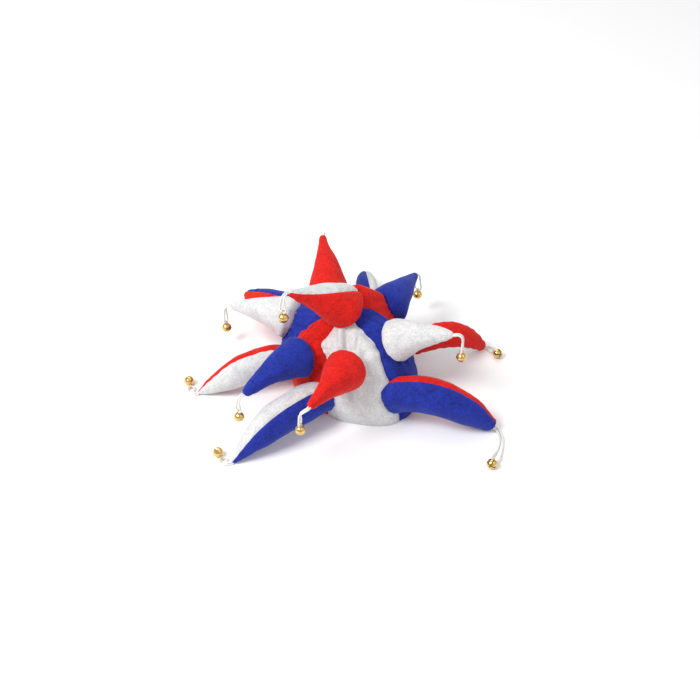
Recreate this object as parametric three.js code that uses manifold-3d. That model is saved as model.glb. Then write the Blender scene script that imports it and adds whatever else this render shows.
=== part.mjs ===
// Jester hat with thirteen points, each with a jingle bell on a cord loop.
// Millimetres, +Z up. The origin is the middle of the rim, on the table, and the
// front of the head looks towards -Y. Azimuths are degrees, anticlockwise from +X.
import * as THREE from 'three';
import Module from 'manifold-3d';
import { mergeVertices } from 'three/addons/utils/BufferGeometryUtils.js';

const wasm = await Module();
wasm.setup();

// Driving dimensions of the crown
const rimLength = 232; // outside, front to back
const rimWidth = 160; // outside, side to side
const crownHeight = 131; // table to the top seam
const crownWall = 2.5; // padded velour
const crownLean = 9; // how far the slack top leans over
const crownLeanAzimuth = 155;
const seamDip = 3.4; // how deep a sewn seam lies in the crown
const seamSharpness = 6; // power that keeps the dip close to the seam
const seamGap = 0.3; // clearance between pieces that are sewn together

// Driving dimensions of the stuffed points
const hornSpan = 140; // lower horn, from the crown to its tip, seen from above
const hornHeight = 45; // table to the middle of a lower horn's root
const hornDiameter = 51; // lower horn, between its two seams
const hornCap = 3; // rounded end past a horn's last section
const coneLength = 97;
const coneDiameter = 62;
const coneHeight = 91; // table to the middle of a cone's base
const topHornLength = 104;
const topHornLift = 2; // middle of its base above the top seam
const topHornDiameter = 70;
const tipDiameter = 9; // rounded end of a cone and of the top horn

// Driving dimensions of the bells and their cords
const cordDiameter = 2.6;
const loopWidth = 10.4; // between the strands where a loop turns through its bell
const strandGap = 0.6; // between the two strands where they leave a tip
const cordDrop = 30; // from a tip down to the turn of a hanging loop
const bellDiameter = 14;
const bellWall = 0.7;
const slotWidth = 1.6;
const slotLength = 12; // across the bell
const slotTop = 1.7; // below the bell's middle
const slotTurn = 18; // degrees from the handle's plane
const handleWire = 1.1;
const handleClearance = 1.05; // between the cord and the bell's handle
const restGap = 0.1; // between the table and what lies on it

// Facets
const goreColumns = 5;
const halfSides = 5;
const coneSides = 10;
const cordSides = 8;
const cordStep = 7.4; // length of a cord's straight steps
const bellSides = 8;
const bellRows = 3;
const handleSides = 4;
const handleSteps = 6;

const white = new THREE.Color(0.9, 0.9, 0.89);
const red = new THREE.Color(0.86, 0.1, 0.08);
const blue = new THREE.Color(0.08, 0.2, 0.68);
const cordWhite = new THREE.Color(0.93, 0.93, 0.9);
const brass = new THREE.Color(0.85, 0.66, 0.27);

// Sections of the crown from the rim to the top seam. up is a share of
// crownHeight, reach a share of the rim's half sizes, and oval says how much of
// the rim's oval is left at that height.
const crownSections = [
  { up: 0.0, reach: 1.0, oval: 1.0 },
  { up: 0.1, reach: 1.02, oval: 0.9 },
  { up: 0.22, reach: 1.03, oval: 0.72 },
  { up: 0.34, reach: 1.01, oval: 0.55 },
  { up: 0.46, reach: 0.96, oval: 0.42 },
  { up: 0.58, reach: 0.87, oval: 0.32 },
  { up: 0.69, reach: 0.75, oval: 0.22 },
  { up: 0.79, reach: 0.61, oval: 0.15 },
  { up: 0.87, reach: 0.46, oval: 0.1 },
  { up: 0.94, reach: 0.27, oval: 0.05 },
  { up: 1.0, reach: 0.05, oval: 0.0 },
];

// Gores by the azimuth of their middle, with the cone that each one carries. at
// is the azimuth of the cone's base and lift its height as a share of coneHeight;
// toward and rise give the line from its base to its tip, in degrees, and long is
// its length as a share of coneLength. loop names the form of its cord loop, hang
// is the azimuth where the loop falls, and drop its depth as a share of cordDrop.
const goreTable = [
  {
    name: 'left', azimuth: 0, cloth: red, cone: blue,
    at: 2, lift: 1.0, toward: 25, rise: -7, long: 0.98, loop: 'drooping', hang: 22, drop: 1.0,
  },
  {
    name: 'back_left', azimuth: 60, cloth: white, cone: red,
    at: 69, lift: 1.0, toward: 58, rise: 16, long: 1.06, loop: 'level', hang: 52, drop: 0.8,
  },
  {
    name: 'back_right', azimuth: 120, cloth: blue, cone: white,
    at: 122, lift: 0.98, toward: 117, rise: -8, long: 1.0, loop: 'drooping', hang: 122, drop: 1.0,
  },
  {
    name: 'right', azimuth: 180, cloth: red, cone: blue,
    at: 182, lift: 0.98, toward: 181, rise: -7, long: 1.0, loop: 'drooping', hang: 184, drop: 0.72,
  },
  {
    name: 'front_right', azimuth: 240, cloth: white, cone: red,
    at: 232, lift: 1.0, toward: 203, rise: 9, long: 1.0, loop: 'swung', hang: 200, drop: 0.74,
  },
  {
    name: 'front_left', azimuth: 300, cloth: blue, cone: white,
    at: 300, lift: 1.08, toward: 298, rise: 26, long: 0.93, loop: 'raised', hang: 306, drop: 0.74,
  },
];
const goreStep = 360 / goreTable.length;

// How a cone pulls its gore into a tent: out in millimetres, raise and tall shares
// of crownHeight, the first from the middle of the cone's base, and wide in degrees
const coneTent = { out: 13, raise: 0.12, wide: 17, tall: 0.17 };

// Share of the full reach below which dents and seams fade into the top seam
const reliefFade = 0.5;

// Dents and folds of the slack crown: at is an azimuth, up a share of
// crownHeight, wide half a width in degrees, tall half a height as a share of
// crownHeight, and deep a share of rimWidth, positive inwards.
const folds = [
  { at: 236, up: 0.9, wide: 9, tall: 0.12, deep: 0.05 },
  { at: 262, up: 0.72, wide: 12, tall: 0.1, deep: -0.025 },
  { at: 205, up: 0.6, wide: 8, tall: 0.14, deep: 0.03 },
  { at: 183, up: 0.38, wide: 14, tall: 0.1, deep: 0.02 },
  { at: 246, up: 0.42, wide: 12, tall: 0.12, deep: 0.02 },
  { at: 330, up: 0.8, wide: 10, tall: 0.1, deep: -0.02 },
  { at: 243, up: 0.0, wide: 18, tall: 0.14, deep: 0.035 },
];

// Where the slack cloth carries a seam aside: drift is in degrees, and up and
// tall are shares of crownHeight as above
const seamDrifts = [
  { seam: 210, up: 0.84, tall: 0.1, drift: -13 },
  { seam: 270, up: 0.8, tall: 0.12, drift: 7 },
  { seam: 330, up: 0.6, tall: 0.2, drift: 4 },
];

// The six two-colour horns: at is the azimuth of a root and toward the one that
// the horn runs in, with span its length as a share of hornSpan; root, crest and
// wrist are heights as shares of hornHeight; girth and blunt are its thickness and
// its end as shares of hornDiameter; roll tips its top seam to the anticlockwise
// side, in degrees. clockwise and anticlockwise name its two halves.
const hornTable = [
  {
    name: 'front', at: 272, toward: 312, span: 0.93, root: 1.0, crest: 1.34, wrist: 0.98,
    girth: 1.05, blunt: 0.46, roll: 0, loop: 'draped', clockwise: 'blue', anticlockwise: 'red',
  },
  {
    name: 'front_left', at: 330, toward: 344.6, span: 0.84, root: 1.24, crest: 1.32, wrist: 1.24,
    girth: 0.78, blunt: 0.45, roll: 33, loop: 'tucked', clockwise: 'red', anticlockwise: 'white',
  },
  {
    name: 'back_left', at: 30, toward: 56.5, span: 0.9, root: 1.0, crest: 1.25, wrist: 1.0,
    girth: 0.74, blunt: 0.55, roll: -8, loop: 'underneath', clockwise: 'white', anticlockwise: 'blue',
  },
  {
    name: 'back', at: 90, toward: 98, span: 0.86, root: 0.85, crest: 0.95, wrist: 0.42,
    girth: 0.95, blunt: 0.5, roll: 10, loop: 'beside', clockwise: 'blue', anticlockwise: 'red',
  },
  {
    name: 'back_right', at: 150, toward: 153, span: 0.87, root: 1.0, crest: 1.24, wrist: 0.58,
    girth: 0.92, blunt: 0.22, roll: 0, loop: 'tucked', clockwise: 'red', anticlockwise: 'white',
  },
  {
    name: 'front_right', at: 206, toward: 178.8, span: 1.01, root: 0.88, crest: 1.09, wrist: 0.89,
    girth: 1.08, blunt: 0.2, roll: 24, loop: 'turned', clockwise: 'white', anticlockwise: 'blue',
  },
];

// Along a horn, as shares of its span: its sections, where it starts to taper and
// the taper's power, and where its gathered root reaches the full girth
const hornStations = [-0.12, 0.0, 0.14, 0.3, 0.46, 0.61, 0.76, 0.89, 1.0];
const hornTaper = { from: 0.35, power: 2.5 };
const hornRoot = { until: 0.15, girth: 0.94 };
const hornWidth = { root: 0.92, tip: 0.8 }; // shares of its height
const hornTipRest = 0.8; // height of a tip's middle as a share of its half height
const hornCapGirth = 0.7; // end of the rounded cap as a share of the tip

// Along a cone or the top horn, as shares of its length, with how much of the full
// girth is left where the stuffed root turns in to its seam
const coneStations = [
  { share: -0.12, tuck: 0.74 },
  { share: -0.03, tuck: 0.93 },
  { share: 0.06, tuck: 1 },
  { share: 0.26, tuck: 1 },
  { share: 0.48, tuck: 1 },
  { share: 0.7, tuck: 1 },
  { share: 0.88, tuck: 1 },
  { share: 0.97, tuck: 1 },
];
const coneBend = { normal: 0.5, knee: 0.35 }; // how far it follows the crown's normal, and for how long
const coneTaperPower = 1.1;
const coneCap = { length: 0.33, girth: 0.66 }; // shares of the tip's diameter
const clothColours = { white, red, blue };

// The top horn stands on the top seam and flops to one side; its own seam starts
// at the azimuth seam and turns by twist degrees on the way to the tip
const topHorn = { toward: 172, rise: 37, seam: -5, twist: -60, loop: 'raised', hang: 194, drop: 0.66 };

// Middle lines of the cord loops, from a tip to the middle of the turn. Each loop
// starts with a straight stretch of cordStart along the tip's own axis. The next
// points give out and left from the tip in millimetres, with out in the loop's
// direction seen from above, then a height, and half the width of the loop.
const closeHalf = (cordDiameter + strandGap) / 2;
const turnHalf = loopWidth / 2;

// Hanging loops: heights in millimetres from the end of that straight stretch.
// From the last point here the loop falls straight to its turn.
const hangingRoutes = {
  drooping: [
    [6.8, 0, -2.0, closeHalf],
    [9.2, 0, -5.2, 1.9],
    [10.4, 0, -9.2, 2.4],
  ],
  level: [
    [7.0, 0, -0.4, closeHalf],
    [10.1, 0, -2.4, 1.8],
    [11.9, 0, -5.8, 2.1],
    [12.6, 0, -10, 2.6],
  ],
  raised: [
    [7.0, 0, 0.7, closeHalf],
    [10.4, 0, -0.5, 1.7],
    [12.7, 0, -3.5, 2.0],
    [13.6, 0, -7.8, 2.4],
  ],
  swung: [
    [6.8, -1.2, -0.4, closeHalf],
    [9.3, -3.8, -2.6, 1.8],
    [10.4, -6.6, -6, 2.1],
    [10.8, -8.2, -10.2, 2.6],
  ],
};

// Lying loops: a height is 1 at the tip's height and 0 on the table
const lyingRoutes = {
  draped: [
    [6, -0.9, 0.28, closeHalf],
    [9.4, -3.8, 0.05, 1.8],
    [12, -8.6, 0, 2.0],
    [13.8, -15, 0, 2.2],
    [14.4, -23, 0, 2.4],
    [14.2, -31.5, 0, 2.8],
    [13.2, -40, 0, 3.4],
    [11.4, -48, 0, 4.3],
    [9.2, -55.5, 0, turnHalf],
  ],
  tucked: [
    [5.4, -0.8, 0.2, closeHalf],
    [8, -3, 0.03, 2.2],
    [9.3, -6.2, 0, 3.6],
    [9.6, -9.4, 0, turnHalf],
  ],
  underneath: [
    [6, -1, 0.3, closeHalf],
    [9, -3.6, 0.05, closeHalf],
    [10.6, -7.6, 0, closeHalf],
    [10, -12, 0, closeHalf],
    [7, -15.6, 0, 1.7],
    [2.4, -17.2, 0, 1.9],
    [-2.6, -16.4, 0, 2.2],
    [-7.6, -13.8, 0, 2.7],
    [-12.4, -10.8, 0, 3.4],
    [-18, -7.4, 0, 4.4],
    [-23.6, -4.2, 0, turnHalf],
  ],
  beside: [
    [7, -1, 0.35, closeHalf],
    [10.4, -3.8, 0.08, closeHalf],
    [12, -8.4, 0, closeHalf],
    [11.6, -13.6, 0, closeHalf],
    [9, -18.4, 0, 1.7],
    [5, -22, 0, 2.0],
    [0.2, -24.2, 0, 2.4],
    [-5.4, -25.4, 0, 3.2],
    [-11.4, -26, 0, 4.2],
    [-17.4, -26.2, 0, turnHalf],
  ],
  turned: [
    [5.6, -0.8, 0.2, closeHalf],
    [8, -2.9, 0.03, 2.2],
    [9.2, -6, 0, 3.6],
    [9, -9.2, 0, turnHalf],
  ],
};

const up = new THREE.Vector3(0, 0, 1);

function radians(degrees) {
  return degrees * Math.PI / 180;
}

function heading(azimuth, rise = 0) {
  const flat = Math.cos(radians(rise));
  return new THREE.Vector3(
    flat * Math.cos(radians(azimuth)), flat * Math.sin(radians(azimuth)), Math.sin(radians(rise)),
  );
}

function turnBetween(from, to) {
  return ((to - from + 540) % 360) - 180;
}

// Joins rings of points into one closed solid with zipped ends
function loft(rings) {
  const count = rings[0].length;
  const triangles = [];
  for (let ring = 0; ring + 1 < rings.length; ring += 1) {
    for (let i = 0; i < count; i += 1) {
      const a = ring * count + i;
      const b = ring * count + (i + 1) % count;
      triangles.push([a, b, a + count], [b, b + count, a + count]);
    }
  }
  const last = (rings.length - 1) * count;
  for (let low = 0, high = count - 1; high - low > 1; low += 1, high -= 1) {
    triangles.push([low, high, low + 1], [last + low, last + low + 1, last + high]);
    if (high - low > 2) {
      triangles.push([low + 1, high, high - 1], [last + low + 1, last + high - 1, last + high]);
    }
  }
  return closedGeometry(rings.flat(), triangles);
}

function closedGeometry(points, triangles) {
  const corner = (i) => points[i];
  const volume = triangles.reduce((sum, [a, b, c]) => (
    sum + corner(a).dot(corner(b).clone().cross(corner(c)))), 0);
  const index = triangles.flatMap(([a, b, c]) => (volume > 0 ? [a, b, c] : [a, c, b]));
  const geometry = new THREE.BufferGeometry();
  const numbers = points.flatMap((point) => point.toArray());
  geometry.setAttribute('position', new THREE.Float32BufferAttribute(numbers, 3));
  geometry.setIndex(index);
  return geometry;
}

// Booleans
function solidOf(geometry) {
  const bare = geometry.clone();
  bare.deleteAttribute('normal');
  bare.deleteAttribute('uv');
  const merged = mergeVertices(bare, 1e-4);
  return new wasm.Manifold(new wasm.Mesh({
    numProp: 3,
    vertProperties: new Float32Array(merged.attributes.position.array),
    triVerts: new Uint32Array(merged.index.array),
  }));
}

function geometryOf(solid) {
  const mesh = solid.getMesh();
  const geometry = new THREE.BufferGeometry();
  geometry.setAttribute('position', new THREE.BufferAttribute(mesh.vertProperties, 3));
  geometry.setIndex(new THREE.BufferAttribute(mesh.triVerts, 1));
  return geometry;
}

// The crown's outside
function ovalReach(azimuth) {
  const along = Math.sin(radians(azimuth)) / (rimLength / 2);
  const across = Math.cos(radians(azimuth)) / (rimWidth / 2);
  return 1 / Math.hypot(along, across);
}

function sectionAt(share) {
  const next = crownSections.findIndex((section) => section.up >= share - 1e-9);
  const high = crownSections[Math.max(next, 1)];
  const low = crownSections[Math.max(next, 1) - 1];
  const part = (share - low.up) / (high.up - low.up);
  return {
    reach: low.reach + (high.reach - low.reach) * part,
    oval: low.oval + (high.oval - low.oval) * part,
  };
}

function bump(azimuth, share, at, atShare, wide, tall) {
  const across = turnBetween(at, azimuth) / wide;
  const along = (share - atShare) / tall;
  return Math.exp(-(across ** 2) - along ** 2);
}

function coneShare(gore) {
  return gore.lift * coneHeight / crownHeight;
}

function reliefAt(azimuth, share) {
  let relief = 0;
  for (const fold of folds) {
    relief -= fold.deep * rimWidth * bump(azimuth, share, fold.at, fold.up, fold.wide, fold.tall);
  }
  for (const gore of goreTable) {
    const middle = coneShare(gore) + coneTent.raise;
    relief += coneTent.out * bump(azimuth, share, gore.at, middle, coneTent.wide, coneTent.tall);
  }
  return relief;
}

function driftAt(seam, share) {
  return seamDrifts.reduce((sum, row) => (
    Math.abs(turnBetween(row.seam, seam)) < 1
      ? sum + row.drift * Math.exp(-(((share - row.up) / row.tall) ** 2)) : sum), 0);
}

// Azimuth at a place across a gore, from -1 at one seam to 1 at the next
function goreAzimuth(gore, across, share) {
  const before = driftAt(gore.azimuth - goreStep / 2, share);
  const after = driftAt(gore.azimuth + goreStep / 2, share);
  return gore.azimuth + across * goreStep / 2 + (before * (1 - across) + after * (1 + across)) / 2;
}

function crownPoint(azimuth, share, across = 0, withRelief = true) {
  const section = sectionAt(share);
  const mean = Math.sqrt(rimLength * rimWidth) / 2;
  const round = mean * (ovalReach(azimuth) / mean) ** section.oval;
  const fade = withRelief ? Math.min(1, section.reach / reliefFade) : 0;
  const relief = (reliefAt(azimuth, share) - seamDip * across ** seamSharpness) * fade;
  return heading(azimuth).multiplyScalar(section.reach * round + relief)
    .addScaledVector(heading(crownLeanAzimuth), crownLean * share)
    .addScaledVector(up, crownHeight * share);
}

// Normal of the smooth crown, from points a small step apart
function crownNormal(azimuth, share) {
  const step = { share: 0.03, azimuth: 2 };
  const low = crownPoint(azimuth, Math.max(share - step.share, 0), 0, false);
  const high = crownPoint(azimuth, Math.min(share + step.share, 1), 0, false);
  const before = crownPoint(azimuth - step.azimuth, share, 0, false);
  const after = crownPoint(azimuth + step.azimuth, share, 0, false);
  return after.sub(before).cross(high.sub(low)).normalize();
}

// One gore: a wall of cloth between two seams
function goreGeometry(gore) {
  const rings = crownSections.map(({ up: share }) => {
    const outside = [];
    const inside = [];
    for (let column = 0; column <= goreColumns; column += 1) {
      const across = 2 * column / goreColumns - 1;
      const azimuth = goreAzimuth(gore, across, share);
      const point = crownPoint(azimuth, share, across);
      if (Math.abs(across) === 1) {
        point.addScaledVector(heading(azimuth + 90), -across * seamGap / 2);
      }
      const normal = share === 0 ? heading(azimuth) : crownNormal(azimuth, share);
      outside.push(point);
      inside.unshift(point.clone().addScaledVector(normal, -crownWall));
    }
    return [...outside, ...inside];
  });
  return loft(rings);
}

// The crown as one full solid, seamGap larger, that cuts the roots of the points
function crownEnvelope() {
  const rings = crownSections.map(({ up: share }) => {
    const ring = [];
    for (const gore of goreTable) {
      for (let column = 0; column < goreColumns; column += 1) {
        const across = 2 * column / goreColumns - 1;
        const azimuth = goreAzimuth(gore, across, share);
        const normal = share === 0 ? heading(azimuth) : crownNormal(azimuth, share);
        ring.push(crownPoint(azimuth, share, across).addScaledVector(normal, seamGap));
      }
    }
    return ring;
  });
  return solidOf(loft(rings));
}

// A stuffed point is a row of sections: middle, direction, the way to its top
// seam, and its half sizes towards that seam (tall) and across it (wide)
function sectionRing(section, sides) {
  const { middle, along, tall, wide, ridge } = section;
  const across = ridge.clone().cross(along);
  return Array.from({ length: sides }, (_, i) => {
    const angle = 2 * Math.PI * i / sides;
    return middle.clone().addScaledVector(ridge, tall * Math.cos(angle))
      .addScaledVector(across, wide * Math.sin(angle));
  });
}

function halfRing(section, side) {
  const { middle, along, tall, wide, ridge } = section;
  const across = ridge.clone().cross(along).multiplyScalar(side);
  return Array.from({ length: halfSides + 1 }, (_, i) => {
    const angle = Math.PI * i / halfSides;
    return middle.clone().addScaledVector(ridge, tall * Math.cos(angle))
      .addScaledVector(across, wide * Math.sin(angle) + seamGap / 2);
  });
}

function onTable(ring) {
  return ring.map((point) => point.setZ(Math.max(point.z, 0)));
}

function capSection(section, length, share) {
  return {
    ...section,
    middle: section.middle.clone().addScaledVector(section.along, length),
    tall: section.tall * share,
    wide: section.wide * share,
  };
}

// Lower horns
function hornSections(row) {
  const start = crownPoint(row.at, hornHeight / crownHeight);
  const run = heading(row.toward).multiplyScalar(row.span * hornSpan);
  const tipTall = row.blunt * row.girth * hornDiameter / 2;
  const [root, crest, wrist] = [row.root, row.crest, row.wrist].map((share) => share * hornHeight);
  const end = tipTall * hornTipRest;
  const sections = hornStations.map((share) => {
    const rest = 1 - share;
    const height = rest ** 3 * root + 3 * rest ** 2 * share * crest
      + 3 * rest * share ** 2 * wrist + share ** 3 * end;
    const slope = 3 * (rest ** 2 * (crest - root) + 2 * rest * share * (wrist - crest)
      + share ** 2 * (end - wrist));
    const middle = start.clone().addScaledVector(run, share).setZ(height);
    const along = run.clone().setZ(slope).normalize();
    const side = up.clone().cross(along).normalize();
    const ridge = along.clone().cross(side).applyAxisAngle(along, -radians(row.roll));
    const taper = Math.max((share - hornTaper.from) / (1 - hornTaper.from), 0) ** hornTaper.power;
    const filled = Math.min(Math.max(share, 0) / hornRoot.until, 1);
    const swell = hornRoot.girth + (1 - hornRoot.girth) * filled;
    const tall = hornDiameter / 2 * row.girth * swell * (1 - (1 - row.blunt) * taper);
    const wide = tall * (hornWidth.root + (hornWidth.tip - hornWidth.root) * taper);
    return { middle, along, ridge, tall, wide };
  });
  sections.push(capSection(sections.at(-1), hornCap, hornCapGirth));
  return sections;
}

// Cones and the top horn leave the crown between its normal and their own line
function coneSectionsBetween(base, normal, tip, baseDiameter, ridgeStart, twist) {
  const reach = tip.clone().sub(base);
  const leave = reach.clone().normalize().addScaledVector(normal, coneBend.normal).normalize();
  const knee = base.clone().addScaledVector(leave, reach.length() * coneBend.knee);
  const sections = coneStations.map(({ share, tuck }) => {
    const rest = 1 - share;
    const middle = base.clone().multiplyScalar(rest ** 2).addScaledVector(knee, 2 * rest * share)
      .addScaledVector(tip, share ** 2);
    const along = knee.clone().sub(base).multiplyScalar(rest)
      .addScaledVector(tip.clone().sub(knee), share).normalize();
    const taper = 1 - Math.max(share, 0) ** coneTaperPower;
    const radius = (tipDiameter + (baseDiameter - tipDiameter) * taper) / 2 * tuck;
    return { share, middle, along, tall: radius, wide: radius };
  });
  let ridge = ridgeStart.clone();
  for (const section of sections) {
    ridge = ridge.clone().addScaledVector(section.along, -ridge.dot(section.along)).normalize();
    section.ridge = ridge.clone().applyAxisAngle(section.along, radians(twist) * section.share);
  }
  sections.push(capSection(sections.at(-1), tipDiameter * coneCap.length, coneCap.girth));
  return sections;
}

function coneSections(gore) {
  const share = coneShare(gore);
  const base = crownPoint(gore.at, share);
  const tip = base.clone().addScaledVector(heading(gore.toward, gore.rise), gore.long * coneLength);
  return coneSectionsBetween(base, crownNormal(gore.at, share), tip, coneDiameter, up, 0);
}

function topHornSections() {
  const base = heading(crownLeanAzimuth).multiplyScalar(crownLean).setZ(crownHeight + topHornLift);
  const tip = base.clone().addScaledVector(heading(topHorn.toward, topHorn.rise), topHornLength);
  return coneSectionsBetween(base, up, tip, topHornDiameter, heading(topHorn.seam), topHorn.twist);
}

// A jingle bell: slotted shell with a wire handle, the handle's middle at the
// local origin, its hole along X and the shell below
const handleRadius = cordDiameter / 2 + handleClearance + handleWire / 2;
const bellOffset = bellDiameter / 2 + handleRadius - handleWire / 4;

function bellGeometry() {
  const ball = (radius) => {
    const profile = Array.from({ length: bellRows + 1 }, (_, i) => {
      const angle = Math.PI * (i / bellRows - 0.5);
      const edge = i === 0 || i === bellRows;
      return new THREE.Vector2(edge ? 0 : radius * Math.cos(angle), radius * Math.sin(angle));
    });
    const shell = new THREE.LatheGeometry(profile, bellSides).rotateX(Math.PI / 2);
    return solidOf(shell.translate(0, 0, -bellOffset));
  };
  const slotBox = (turn) => solidOf(
    new THREE.BoxGeometry(slotLength, slotWidth, bellDiameter)
      .rotateZ(radians(turn)).translate(0, 0, -bellOffset - slotTop - bellDiameter / 2),
  );
  const ring = new THREE.TorusGeometry(handleRadius, handleWire / 2, handleSides, handleSteps);
  const handle = solidOf(ring.rotateY(Math.PI / 2));
  const solid = ball(bellDiameter / 2).add(handle)
    .subtract(ball(bellDiameter / 2 - bellWall))
    .subtract(slotBox(slotTurn))
    .subtract(slotBox(slotTurn + 90));
  return geometryOf(solid);
}

// Cord loops: two strands from the tip and a turn through the bell's handle. The
// handle lifts the last points of a lying loop, by the shares in handlePerch.
const cordLead = seamGap + restGap;
const cordStart = 3.4;
const fallSteps = 3;
const cordRest = cordDiameter / 2 + restGap;
const handleRest = handleRadius + handleWire / 2 + restGap;
const handlePerch = [1, 0.6, 0.2];
const turnAngles = [30, 60, 90, 120, 150];
const steepRun = 0.15; // a route that runs less than this seen from above is upright

// Rows from the tip on, with heights above the table
function lyingRows(route, tipHeight) {
  return route.map(([ahead, aside, height, half], i) => {
    const perch = handlePerch[route.length - 1 - i] ?? 0;
    const lifted = height * (tipHeight - cordRest) + perch * (handleRest - cordRest);
    return [ahead, aside, cordRest + lifted, half];
  });
}

function hangingRows(route, startHeight, turnHeight) {
  const rows = route.map(([ahead, aside, height, half]) => [ahead, aside, startHeight + height, half]);
  const [ahead, aside, height, half] = rows.at(-1);
  for (let step = 1; step <= fallSteps; step += 1) {
    const part = step / fallSteps;
    rows.push([ahead, aside, height + (turnHeight - height) * part, half + (turnHalf - half) * part]);
  }
  return rows;
}

function loopPoints(tipSection, out, route, drop) {
  const lying = drop === 0;
  const tip = tipSection.middle.clone().addScaledVector(tipSection.along, cordLead);
  const start = tip.clone().addScaledVector(tipSection.along, cordStart);
  const left = up.clone().cross(out);
  const rows = lying ? lyingRows(route, tip.z) : hangingRows(route, start.z, tip.z - drop * cordDrop);
  const aim = ([ahead, aside]) => out.clone().multiplyScalar(ahead).addScaledVector(left, aside);
  const spine = [tip, start, ...rows.map((row) => tip.clone().add(aim(row)).setZ(row[2]))];
  const halves = [closeHalf, closeHalf, ...rows.map((row) => row[3])];
  const sides = [up.clone().cross(tipSection.along).normalize()];
  sides.push(sides[0]);
  for (let i = 2; i < spine.length; i += 1) {
    const next = spine[Math.min(i + 1, spine.length - 1)];
    const flat = next.clone().sub(spine[i - 1]).setZ(0);
    sides.push(flat.length() > steepRun ? up.clone().cross(flat).normalize() : sides[i - 1]);
  }
  const end = spine.at(-1);
  const onward = end.clone().sub(spine.at(-2));
  if (lying) {
    onward.setZ(0);
  }
  onward.normalize();
  const strand = (side) => spine.map((point, i) => (
    point.clone().addScaledVector(sides[i], side * halves[i])));
  const turn = turnAngles.map((degrees) => end.clone()
    .addScaledVector(sides.at(-1), turnHalf * Math.cos(radians(degrees)))
    .addScaledVector(onward, turnHalf * Math.sin(radians(degrees))));
  return { points: [...strand(1), ...turn, ...strand(-1).reverse()], onward };
}

// An even number of steps puts one of them in the middle of the bell's handle
function cordGeometry(path) {
  const shape = new THREE.Shape(Array.from({ length: cordSides }, (_, i) => {
    const angle = 2 * Math.PI * (i + 0.5) / cordSides;
    return new THREE.Vector2(Math.cos(angle), Math.sin(angle)).multiplyScalar(cordDiameter / 2);
  }));
  const steps = 2 * Math.ceil(path.getLength() / cordStep / 2);
  return new THREE.ExtrudeGeometry(shape, { extrudePath: path, steps, bevelEnabled: false });
}

// Materials
function clothMaterial(colour) {
  return new THREE.MeshStandardMaterial({ color: colour, roughness: 0.95, metalness: 0 });
}
const brassMaterial = new THREE.MeshStandardMaterial({ color: brass, roughness: 0.25, metalness: 1 });
const cordMaterial = new THREE.MeshStandardMaterial({ color: cordWhite, roughness: 0.7, metalness: 0 });

function named(name, geometry, material) {
  const mesh = new THREE.Mesh(geometry, material);
  mesh.name = name;
  return mesh;
}

// A bell and its cord at one tip; a bell that lies rolls until its handle is low
const bellShape = bellGeometry();

function belledLoop(name, tipSection, out, route, drop) {
  const loop = loopPoints(tipSection, out, route, drop);
  const path = new THREE.CatmullRomCurve3(loop.points);
  const handle = path.getPointAt(0.5);
  const through = path.getTangentAt(0.5);
  const hangs = up.clone().negate();
  if (drop === 0) {
    const rise = (bellDiameter / 2 + restGap - handle.z) / bellOffset;
    const across = through.clone().cross(up).setZ(0).normalize();
    const away = Math.sign(across.dot(loop.onward));
    hangs.copy(across).multiplyScalar(away * Math.sqrt(1 - rise ** 2)).setZ(rise);
  }
  const bell = named(`bell_${name}`, bellShape, brassMaterial);
  const bellUp = hangs.clone().negate();
  const hole = through.addScaledVector(bellUp, -through.dot(bellUp)).normalize();
  bell.quaternion.setFromRotationMatrix(
    new THREE.Matrix4().makeBasis(hole, bellUp.clone().cross(hole), bellUp),
  );
  bell.position.copy(handle);
  return [named(`cord_${name}`, cordGeometry(path), cordMaterial), bell];
}

// Assembly
const hat = new THREE.Group();
const envelope = crownEnvelope();
const cutToCrown = (geometry) => geometryOf(solidOf(geometry).subtract(envelope));

for (const gore of goreTable) {
  hat.add(named(`gore_${gore.name}`, goreGeometry(gore), clothMaterial(gore.cloth)));
  const sections = coneSections(gore);
  const rings = sections.map((section) => sectionRing(section, coneSides));
  hat.add(named(`cone_${gore.name}`, cutToCrown(loft(rings)), clothMaterial(gore.cone)));
  const route = hangingRoutes[gore.loop];
  hat.add(...belledLoop(`cone_${gore.name}`, sections.at(-1), heading(gore.hang), route, gore.drop));
}

for (const row of hornTable) {
  const sections = hornSections(row);
  for (const [half, side] of [['clockwise', -1], ['anticlockwise', 1]]) {
    const rings = sections.map((section) => onTable(halfRing(section, side)));
    const cloth = clothMaterial(clothColours[row[half]]);
    hat.add(named(`horn_${row.name}_${row[half]}`, cutToCrown(loft(rings)), cloth));
  }
  const route = lyingRoutes[row.loop];
  hat.add(...belledLoop(`horn_${row.name}`, sections.at(-1), heading(row.toward), route, 0));
}

const topSections = topHornSections();
for (const [cloth, side] of [['red', 1], ['white', -1]]) {
  const rings = topSections.map((section) => halfRing(section, side));
  hat.add(named(`top_horn_${cloth}`, cutToCrown(loft(rings)), clothMaterial(clothColours[cloth])));
}
const topRoute = hangingRoutes[topHorn.loop];
hat.add(...belledLoop('top_horn', topSections.at(-1), heading(topHorn.hang), topRoute, topHorn.drop));

export default hat;
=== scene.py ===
import math
from collections import namedtuple

import bmesh
import bpy
from mathutils import Matrix, Quaternion, Vector, noise


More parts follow.
